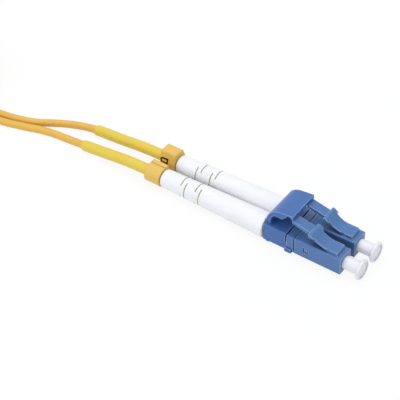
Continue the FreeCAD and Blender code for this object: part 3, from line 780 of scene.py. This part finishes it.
# ---------------------------------------------------------------- cords
@dataclass
class FreeCord:
    """One jacketed cord: its route from the marker band, then its turns in the hank."""

    side: Side
    route: Sequence[Point]
    bend: float
    turns: float
    sleeve_end: float
    radius: float = 0.001
    length: float = 0.5
    row: float = 0.00205
    hank_middle: float = -0.107015
    hank_straight: float = 0.0093
    straight_shares: Sequence[float] = (0.55, -0.1, -0.75)
    bend_degrees: Sequence[float] = (18, 54, 90, 126, 162)
    bulge: float = 1.04
    sway: float = 0.0003
    sway_rate: float = 2.4
    sleeve_radius: float = 0.0014
    sleeve_sides: int = 36
    # Steps of (reach past the last ring, radius).
    sleeve_lip: Sequence[tuple[float, float]] = (
        (0.0002, 0.00137), (0.0004, 0.00128), (0.0005, 0.00116), (0.0005, 0.00103),
    )
    core_sides: int = 24
    # Steps of (reach past the jacket's end, radius).
    core: Sequence[tuple[float, float]] = (
        (-0.0010, 0.00072), (0.00006, 0.00072), (0.00014, 0.00066), (0.00014, 0.00046),
        (0.00086, 0.00046), (0.00092, 0.00041), (0.00092, 0.00008),
    )

    def hank_points(self) -> list[Point]:
        """Lay out the hank's turns.

        Returns:
            Their points, from where the route meets them.
        """
        straight = [self.hank_straight * share for share in self.straight_shares]
        bends = [math.radians(degrees) for degrees in self.bend_degrees]
        wide = self.bulge * self.bend
        shape = [(x, -self.bend) for x in straight]
        shape += [(-self.hank_straight - wide * math.sin(t), -wide * math.cos(t)) for t in bends]
        shape += [(x, self.bend) for x in reversed(straight)]
        shape += [(self.hank_straight + wide * math.sin(t), wide * math.cos(t)) for t in bends]
        base = self.route[-1][2]
        points: list[Point] = []
        for n in range(round(self.turns * len(shape))):
            turn, spot = divmod(n, len(shape))
            x, y = shape[spot]
            sway = self.sway * math.sin(turn * self.sway_rate)
            points.append((self.hank_middle + x + sway, y, base + self.row * n / len(shape)))
        return points

    def spline(self) -> bpy.types.Object:
        """Draw the cord as one smooth curve.

        Returns:
            The curve, which is still a bare line.
        """
        points = list(self.route) + self.hank_points()
        curve = bpy.data.curves.new(f"cord_line_{self.side}", "CURVE")
        curve.dimensions = "3D"
        line = curve.splines.new("NURBS")
        line.points.add(len(points) - 1)
        for spot, place in zip(line.points, points):
            spot.co = (*place, 1.0)
            spot.radius = self.radius
        line.order_u = 3
        line.use_endpoint_u = True
        line.resolution_u = 10
        piece = bpy.data.objects.new(f"cord_jacket_{self.side}", curve)
        bpy.context.scene.collection.objects.link(piece)
        return piece

    def centreline(self, piece: bpy.types.Object) -> list[Vector]:
        """Follow the cord's own line.

        Args:
            piece: The cord's curve, while it is still a bare line.

        Returns:
            Close points along it.
        """
        bpy.context.view_layer.update()
        shape = bpy.data.meshes.new_from_object(piece)
        spots = [vertex.co.copy() for vertex in shape.vertices]
        bpy.data.meshes.remove(shape)
        return spots

    def sleeve(self, line: Sequence[Vector]) -> bpy.types.Object:
        """Wrap the stiffening sleeve round the cord's first stretch.

        Args:
            line: Close points along the cord.

        Returns:
            The sleeve.
        """
        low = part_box(f"sleeve_{self.side}")
        start = Vector((low[1].x, line[0].y, line[0].z))
        run = [start] + [spot for spot in line if spot.x > self.sleeve_end]
        heading = (run[-1] - run[-2]).normalized()
        steps = [(spot, self.sleeve_radius) for spot in run]
        steps += [(run[-1] + heading * reach, radius) for reach, radius in self.sleeve_lip]
        rings = []
        for n, (spot, radius) in enumerate(steps):
            before, after = max(min(n, len(run) - 1) - 1, 0), min(n + 1, len(run) - 1)
            level, over = square_to(steps[after][0] - steps[before][0])
            rings.append(circle(spot, level, over, radius, self.sleeve_sides))
        form = bmesh.new()
        bridge_rings(form, rings)
        piece = new_piece(f"stiff_sleeve_{self.side}", form, Finish.SLEEVE, "plug")
        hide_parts(f"sleeve_{self.side}")
        return piece

    def cut_end(self, line: Sequence[Vector]) -> bpy.types.Object:
        """Show the yarn and the buffered fibre at the cord's bare end.

        Args:
            line: Close points along the cord.

        Returns:
            The core that stands out of the jacket.
        """
        end, heading = line[-1], (line[-1] - line[-2]).normalized()
        level, over = square_to(heading)
        form = bmesh.new()
        bridge_rings(form, [
            circle(end + heading * reach, level, over, radius, self.core_sides)
            for reach, radius in self.core
        ])
        core = new_piece(f"cord_core_{self.side}", form, Finish.BUFFER, "plug")
        soften_angles(core)
        return core

    def build(self, companions: Sequence[bpy.types.Object]) -> None:
        """Lay the cord with its sleeve.

        Args:
            companions: Other pieces on the cord, such as the hank's tie; not used.
        """
        piece = self.spline()
        line = self.centreline(piece)
        sleeve, core = self.sleeve(line), self.cut_end(line)
        piece.data.bevel_depth = 1.0
        piece.data.bevel_resolution = 6
        piece.data.use_fill_caps = True
        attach(piece, "plug")
        Finish.CORD.dress(piece)
        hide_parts(f"cord_{self.side}", "cord_hank")
        2 * self.radius
        log.info("%s: %.4f m along its line", piece.name, line_length(line))


@dataclass
class HankTie:
    """The strap round the middle of the hank."""

    corner: float = 0.0016
    corner_steps: int = 6
    wall: float = 0.00028
    edge_width: float = 0.0002
    edge_shrink: float = 0.00008

    def ring(self, half: float, low: float, high: float, corner: float) -> list[tuple[float, float]]:
        """Return a rounded rectangle of (y, z) points.

        Args:
            half: Half its width.
            low: The height of its lower side.
            high: The height of its upper side.
            corner: The radius of its corners.

        Returns:
            The points, in order.
        """
        points = []
        for y, z, start in ((half, high, 0), (-half, high, 90), (-half, low, 180), (half, low, 270)):
            inner_y, inner_z = y - math.copysign(corner, y), z + (corner if z == low else -corner)
            for n in range(self.corner_steps + 1):
                angle = math.radians(start + 90 / self.corner_steps * n)
                points.append((inner_y + corner * math.cos(angle), inner_z + corner * math.sin(angle)))
        return points

    def build(self) -> bpy.types.Object:
        """Wrap the strap round the turns.

        Returns:
            The strap.
        """
        low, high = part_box("hank_tie")
        half, wall = high.y, self.wall
        outer = self.ring(half, low.z, high.z, self.corner)
        inner = self.ring(half - wall, low.z + wall, high.z - wall, self.corner - wall)
        edges = (
            (low.x, self.edge_shrink), (low.x + self.edge_width, 0.0),
            (high.x - self.edge_width, 0.0), (high.x, self.edge_shrink),
        )
        rings = [[Vector((x, y * (1 - shrink / half), z)) for y, z in outer] for x, shrink in edges]
        rings += [[Vector((x, y, z)) for y, z in inner] for x, _ in reversed(edges)]
        form = bmesh.new()
        bridge_rings(form, rings, closed=True)
        strap = new_piece("strap_hank", form, Finish.STRAP, "plug")
        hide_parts("hank_tie")
        return strap


# ---------------------------------------------------------------- small parts
@dataclass
class PolarityLetter:
    """The plain letter A, lying on its side on the flank of the second band's flag."""

    foot: Point = (-0.029285, 0.000855, 0.00380)
    rise: Point = (0.0, 0.3371, 0.9415)
    band_radius: float = 0.00242
    middle: float = 0.00022
    half_width: float = 0.00056
    stroke: float = 0.00043
    thick: float = 0.000018
    apex_x: float = 0.00030
    apex_bend: float = 0.00042
    apex_steps: int = 8
    apex_in: float = 0.00008
    knee_in: float = 0.00003
    knee_share: float = 0.6
    feet_x: float = 0.00246
    bar_x: float = 0.00218
    bar_share: float = 0.9

    def spot(self, along: float, across: float, lift: float) -> Vector:
        """Find a point on the flank.

        Args:
            along: Its distance from the foot along the band.
            across: Its distance from the foot up the slope.
            lift: Its height above the flank.

        Returns:
            The point, which follows the band's round side below the foot.
        """
        up = Vector(self.rise)
        out = Vector((0.0, -up.z, up.y))
        drop = across * across / (2 * self.band_radius) if across < 0 else 0.0
        return Vector(self.foot) + Vector((along, 0, 0)) + up * across + out * (lift - drop)

    def stroke_strip(
        self, form: bmesh.types.BMesh, line: Sequence[tuple[float, float]], lift: float
    ) -> None:
        """Add one printed stroke.

        Args:
            form: The bmesh to add to.
            line: The stroke's middle line, along and across the flank.
            lift: The height of its face above the flank.
        """
        half, edges = self.stroke / 2, []
        for n, (x, t) in enumerate(line):
            before, after = line[max(n - 1, 0)], line[min(n + 1, len(line) - 1)]
            run = Vector((after[0] - before[0], after[1] - before[1])).normalized()
            for side in (1, -1):
                a, b = x - run.y * half * side, t + run.x * half * side
                edges.append((form.verts.new(self.spot(a, b, lift)), form.verts.new(self.spot(a, b, -lift))))
        for n in range(len(line) - 1):
            (l0, m0), (r0, q0), (l1, m1), (r1, q1) = edges[2 * n:2 * n + 4]
            form.faces.new((l0, l1, r1, r0))
            form.faces.new((l0, m0, m1, l1))
            form.faces.new((r0, r1, q1, q0))

    def build(self) -> None:
        """Print the letter."""
        top, low = self.middle + self.half_width, self.middle - self.half_width
        crown, knee = self.apex_x + self.apex_bend, self.feet_x * self.knee_share
        legs = [(self.feet_x, low), (knee, low + self.knee_in), (crown, low + self.apex_in)]
        for n in range(1, self.apex_steps):
            turn = math.pi * n / self.apex_steps
            across = (self.half_width - self.apex_in) * math.cos(turn)
            legs.append((crown - self.apex_bend * math.sin(turn), self.middle - across))
        legs += [(crown, top - self.apex_in), (knee, top - self.knee_in), (self.feet_x, top)]
        form = bmesh.new()
        self.stroke_strip(form, legs, self.thick)
        bar = [(self.bar_x, across) for across in (low, self.middle, top)]
        self.stroke_strip(form, bar, self.thick * self.bar_share)
        new_piece("letter_b", form, Finish.INK, "plug")


@dataclass
class CoilSpring:
    """The wound spring that pushes a ferrule forward."""

    side: Side
    wire: float = 0.00018
    turns: int = 8
    steps_per_turn: int = 28
    sides: int = 10
    closed_pitch: float = 0.00039
    closed_turns: float = 0.5

    def line(self, low: Vector, high: Vector) -> list[Vector]:
        """Return the wire's middle line, with its end turns closed.

        Args:
            low: The lowest corner of the spring's room.
            high: Its highest corner.

        Returns:
            Points along the helix.
        """
        middle, coil = (low + high) / 2, (high.y - low.y) / 2 - self.wire
        count = self.turns * self.steps_per_turn
        length = high.x - low.x - 2 * self.wire
        openness = []
        for n in range(count):
            turn = min(n, count - 1 - n) / self.steps_per_turn
            ease = min(max(turn - self.closed_turns, 0.0), 1.0)
            openness.append(ease * ease * (3 - 2 * ease))
        closed_step = self.closed_pitch / self.steps_per_turn
        open_step = (length - closed_step * count) / sum(openness)
        x, spots = low.x + self.wire, []
        for n in range(count + 1):
            angle = 2 * math.pi * n / self.steps_per_turn
            spots.append(Vector((x, middle.y + coil * math.cos(angle), middle.z + coil * math.sin(angle))))
            if n < count:
                x += closed_step + open_step * openness[n]
        return spots

    def build(self) -> None:
        """Wind the spring between its seat and the holder's collar."""
        low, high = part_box(f"spring_{self.side}")
        spots = self.line(low, high)
        middle = (low + high) / 2
        rings = []
        for n, spot in enumerate(spots):
            ahead = (spots[min(n + 1, len(spots) - 1)] - spots[max(n - 1, 0)]).normalized()
            out = Vector((0.0, spot.y - middle.y, spot.z - middle.z)).normalized()
            rings.append(circle(spot, out, ahead.cross(out).normalized(), self.wire, self.sides))
        form = bmesh.new()
        bridge_rings(form, rings)
        coil = new_piece(f"coil_spring_{self.side}", form, Finish.SPRING, None)
        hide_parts(f"spring_{self.side}")
        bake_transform(coil)


@dataclass
class FibreEnd:
    """The polished glass end of the fibre, level with the ferrule's face."""

    side: Side
    radius: float = 0.0000625
    root: float = 0.00005
    lift: float = 0.000004
    sides: int = 24

    def build(self) -> None:
        """Set the glass in the ferrule's face."""
        low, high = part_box(f"ferrule_{self.side}")
        middle = (low + high) / 2
        steps = ((-self.root, self.radius), (self.lift, self.radius), (self.lift * 1.5, self.radius / 2))
        across, up = Vector((0.0, 1.0, 0.0)), Vector((0.0, 0.0, 1.0))
        form = bmesh.new()
        bridge_rings(form, [
            circle(Vector((high.x + reach, middle.y, middle.z)), across, up, radius, self.sides)
            for reach, radius in steps
        ])
        new_piece(f"fibre_end_{self.side}", form, Finish.FIBRE, f"ferrule_{self.side}")


@dataclass
class WindowTab:
    """The square catch that stands almost flush in a side window of the front housing."""

    name: str
    face: float
    outward: int
    low_x: float = 0.01565
    high_x: float = 0.01642
    low_z: float = 0.00275
    high_z: float = 0.00361
    depth: float = 0.00014
    sunk: float = 0.00003
    bevel: float = 0.00007

    def ring(self, shrink: float, depth: float) -> list[Vector]:
        """Outline the catch.

        Args:
            shrink: How far the outline is drawn in on each side.
            depth: How far it is sunk below the housing's face.

        Returns:
            Its four corners.
        """
        y = self.face - self.outward * depth
        low_x, high_x = self.low_x + shrink, self.high_x - shrink
        low_z, high_z = self.low_z + shrink, self.high_z - shrink
        corners = ((low_x, low_z), (high_x, low_z), (high_x, high_z), (low_x, high_z))
        return [Vector((x, y, z)) for x, z in corners]

    def build(self) -> None:
        """Mould the catch with a bevelled face."""
        form = bmesh.new()
        bridge_rings(form, [
            self.ring(0.0, self.depth),
            self.ring(0.0, self.sunk + self.bevel),
            self.ring(self.bevel, self.sunk),
        ])
        soften_angles(new_piece(self.name, form, Finish.HOUSING, "plug"))


@dataclass
class LivingHinge:
    """A thin moulded web that joins a moving arm to the body it springs from."""

    name: str
    arm: str
    finish: Finish
    low: Point
    high: Point
    start: Point
    end: Point
    steps: int = 12

    def build(self) -> None:
        """Mould the web across the joint."""
        low, high = Vector(self.low), Vector(self.high)
        along = max(range(3), key=lambda n: abs(self.end[n] - self.start[n]))
        others = [n for n in range(3) if n != along]
        rings = []
        for n in range(self.steps + 1):
            ring = []
            for first, second in ((low, low), (high, low), (high, high), (low, high)):
                spot = Vector((0, 0, 0))
                spot[along] = low[along] + (high[along] - low[along]) * n / self.steps
                spot[others[0]], spot[others[1]] = first[others[0]], second[others[1]]
                ring.append(spot)
            rings.append(ring)
        form = bmesh.new()
        bridge_rings(form, rings)
        web = new_piece(self.name, form, self.finish, None)
        soften_angles(web)
        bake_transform(web)


@dataclass
class Connector:
    """The scene's own small parts of one connector, about its ferrule's axis."""

    side: Side
    face: float = 0.00226
    hinge_half: float = 0.001653
    hinge_x: tuple[float, float] = (0.020865, 0.021505)
    hinge_z: tuple[float, float] = (0.00533, 0.006086)
    fixed_x: float = 0.021245
    moving_x: float = 0.021065
    hinge_height: float = 0.0053

    def build(self) -> None:
        """Add the spring, the fibre's end, the window catches and the latch's hinge."""
        middle = self.side.middle
        CoilSpring(self.side).build()
        FibreEnd(self.side).build()
        for place, outward in (("near", -1), ("far", 1)):
            name = f"window_tab_{self.side}_{place}"
            WindowTab(name, middle + outward * self.face, outward).build()
        LivingHinge(
            f"latch_web_{self.side}", f"latch_{self.side}", Finish.HINGE,
            low=(self.hinge_x[0], middle - self.hinge_half, self.hinge_z[0]),
            high=(self.hinge_x[1], middle + self.hinge_half, self.hinge_z[1]),
            start=(self.fixed_x, middle, self.hinge_height),
            end=(self.moving_x, middle, self.hinge_height),
        ).build()


PACKED = {
    "front_housing": Finish.HOUSING, "latch_arm": Finish.HOUSING, "rear_body": Finish.HOUSING,
    "ferrule": Finish.CERAMIC, "ferrule_holder": Finish.HOLDER,
    "fibre_buffer": Finish.BUFFER, "crimp_sleeve": Finish.CRIMP, "boot": Finish.BOOT,
    "marker_band": Finish.BAND, "dust_cap": Finish.CAP, "cord_entry": Finish.CORD,
    "duplex_clip": Finish.CLIP, "trigger": Finish.CLIP,
}

NEAR_ROUTE: tuple[Point, ...] = (
    (-0.029285, -0.003125, 0.002980), (-0.035215, -0.003125, 0.002980), (-0.044215, -0.003200, 0.001930),
    (-0.054215, -0.003500, 0.001200), (-0.062715, -0.003950, 0.001000), (-0.069215, -0.006000, 0.001000),
    (-0.076215, -0.007850, 0.001000), (-0.083715, -0.008100, 0.001100), (-0.091015, -0.008050, 0.001320),
)
FAR_ROUTE: tuple[Point, ...] = (
    (-0.029285, 0.003125, 0.002980), (-0.035215, 0.003125, 0.002980), (-0.044215, 0.003150, 0.001930),
    (-0.052715, 0.003350, 0.001260), (-0.058715, 0.001950, 0.001000), (-0.063715, -0.000600, 0.001000),
    (-0.068015, -0.003200, 0.001000), (-0.075215, -0.005150, 0.001000), (-0.082215, -0.005750, 0.001100),
    (-0.088815, -0.005600, 0.001320),
)


def dress_packed(nodes: dict[str, bpy.types.Object]) -> None:
    """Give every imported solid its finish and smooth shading.

    Args:
        nodes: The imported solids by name.
    """
    for name, node in nodes.items():
        stem = name[:-2] if name[-2:] in ("_a", "_b") else name
        if stem in PACKED:
            PACKED[stem].dress(node)
            soften_angles(node)
            log.info("%s: packed solid in %s", name, PACKED[stem].name.lower())


def main() -> None:
    """Build the studio, the cords and the dressed connector."""
    logging.basicConfig(level=logging.INFO, format="%(name)s: %(message)s")
    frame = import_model()
    Studio().build()
    tie = HankTie().build()
    FreeCord(Side.NEAR, NEAR_ROUTE, bend=0.00805, turns=4.7, sleeve_end=-0.050515).build([tie])
    FreeCord(Side.FAR, FAR_ROUTE, bend=0.0060, turns=5.4, sleeve_end=-0.052015).build([])
    dress_packed(frame["nodes"])
    PolarityLetter().build()
    for side in Side:
        Connector(side).build()
    LivingHinge(
        "trigger_web", "trigger", Finish.CLIP,
        low=(0.005162, -0.004403, 0.00516), high=(0.006168, 0.004403, 0.005425),
        start=(0.0055, 0.0, 0.00519), end=(0.0055, 0.0, 0.00540),
    ).build()


if __name__ == "__main__":
    main()
